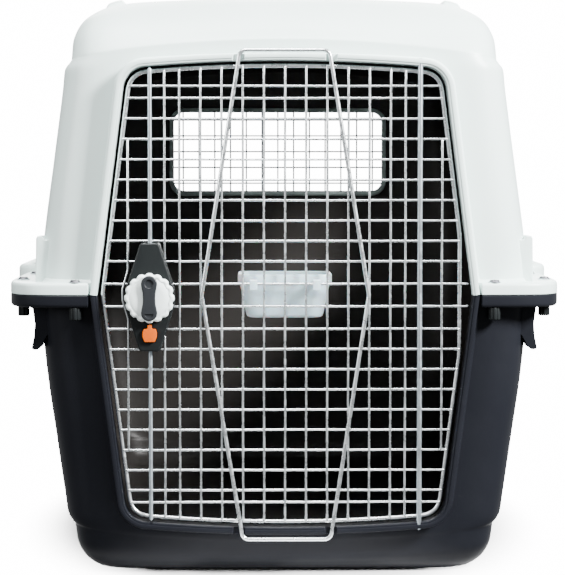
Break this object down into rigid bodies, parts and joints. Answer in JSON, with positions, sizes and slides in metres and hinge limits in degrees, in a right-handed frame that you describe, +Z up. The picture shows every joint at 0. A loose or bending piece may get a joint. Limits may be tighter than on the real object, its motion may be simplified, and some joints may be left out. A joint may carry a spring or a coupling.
{
  "type": "dog travel kennel",
  "caption": "Moulded two-part travel kennel for a large dog, with a hinged wire door, a turn-knob rod latch, grilled windows, side handles and a hung water bowl.",
  "frame": {"origin": "on the floor, under the middle of the whole kennel", "axes": "+Z up, +Y from the door towards the rear wall, +X to the right as seen from the door side"},
  "size_m": [0.692, 0.92, 0.699],
  "materials": {
    "upper_plastic": "fine moulded grain, satin",
    "lower_plastic": "fine moulded grain, satin",
    "dark_steel": "black zinc",
    "zinc_steel": "zinc plated, lightly spangled",
    "black_plastic": "satin",
    "galvanised_wire": "bright galvanised",
    "white_plastic": "semi gloss",
    "grip_plastic": "satin",
    "orange_plastic": "semi gloss",
    "bowl_plastic": "translucent"
  },
  "bodies": {
    "shell": {"lower_shell": "lower_plastic", "upper_shell": "upper_plastic", "lower_flange": "lower_plastic", "upper_flange": "upper_plastic", "lower_handles": "lower_plastic", "upper_handles": "upper_plastic", "flange_bolts": "dark_steel", "flange_washers": "zinc_steel", "flange_thumb_nuts": "black_plastic", "rear_window_grille": "galvanised_wire", "left_window_grille": "galvanised_wire", "right_window_grille": "galvanised_wire"},
    "door": {"door_frame_wire": "galvanised_wire", "door_mesh_vertical": "galvanised_wire", "door_mesh_horizontal": "galvanised_wire", "door_bail": "galvanised_wire", "hinge_rod": "zinc_steel", "latch_housing": "black_plastic", "latch_back_plate": "black_plastic", "latch_screws": "zinc_steel", "button_spring": "zinc_steel"},
    "knob": {"latch_knob": "white_plastic", "knob_grip": "grip_plastic", "latch_pinion": "zinc_steel"},
    "upper_rod": {"lock_rod_upper": "zinc_steel", "rack_upper": "zinc_steel"},
    "lower_rod": {"lock_rod_lower": "zinc_steel", "rack_lower": "zinc_steel"},
    "button": {"safety_button": "orange_plastic"},
    "bowl": {"water_bowl": "bowl_plastic"}
  },
  "joints": [
    {"name": "door_swing", "type": "hinge", "parent": "shell", "child": "door", "pos_m": [0.159, -0.4302, 0.336], "axis": [0, 0, 1], "range_deg": [0, 110]},
    {"name": "knob_turn", "type": "hinge", "parent": "door", "child": "knob", "pos_m": [-0.159, -0.45, 0.334], "axis": [0, 1, 0], "range_deg": [0, 89]},
    {"name": "upper_rod_slide", "type": "slide", "parent": "door", "child": "upper_rod", "axis": [0, 0, 1], "range_m": [0, 0.014]},
    {"name": "lower_rod_slide", "type": "slide", "parent": "door", "child": "lower_rod", "axis": [0, 0, -1], "range_m": [0, 0.014]},
    {"name": "button_press", "type": "slide", "parent": "door", "child": "button", "axis": [0, 1, 0], "range_m": [0, 0.003], "stiffness_N_per_m": 400, "springref_m": -0.002, "deforming": ["button_spring"]},
    {"name": "bowl_lift", "type": "slide", "parent": "door", "child": "bowl", "axis": [0, 0, 1], "range_m": [0, 0.016]}
  ],
  "couplings": [
    {"joint": "upper_rod_slide", "follows": "knob_turn", "m_per_rad": 0.009},
    {"joint": "lower_rod_slide", "follows": "knob_turn", "m_per_rad": 0.009}
  ]
}
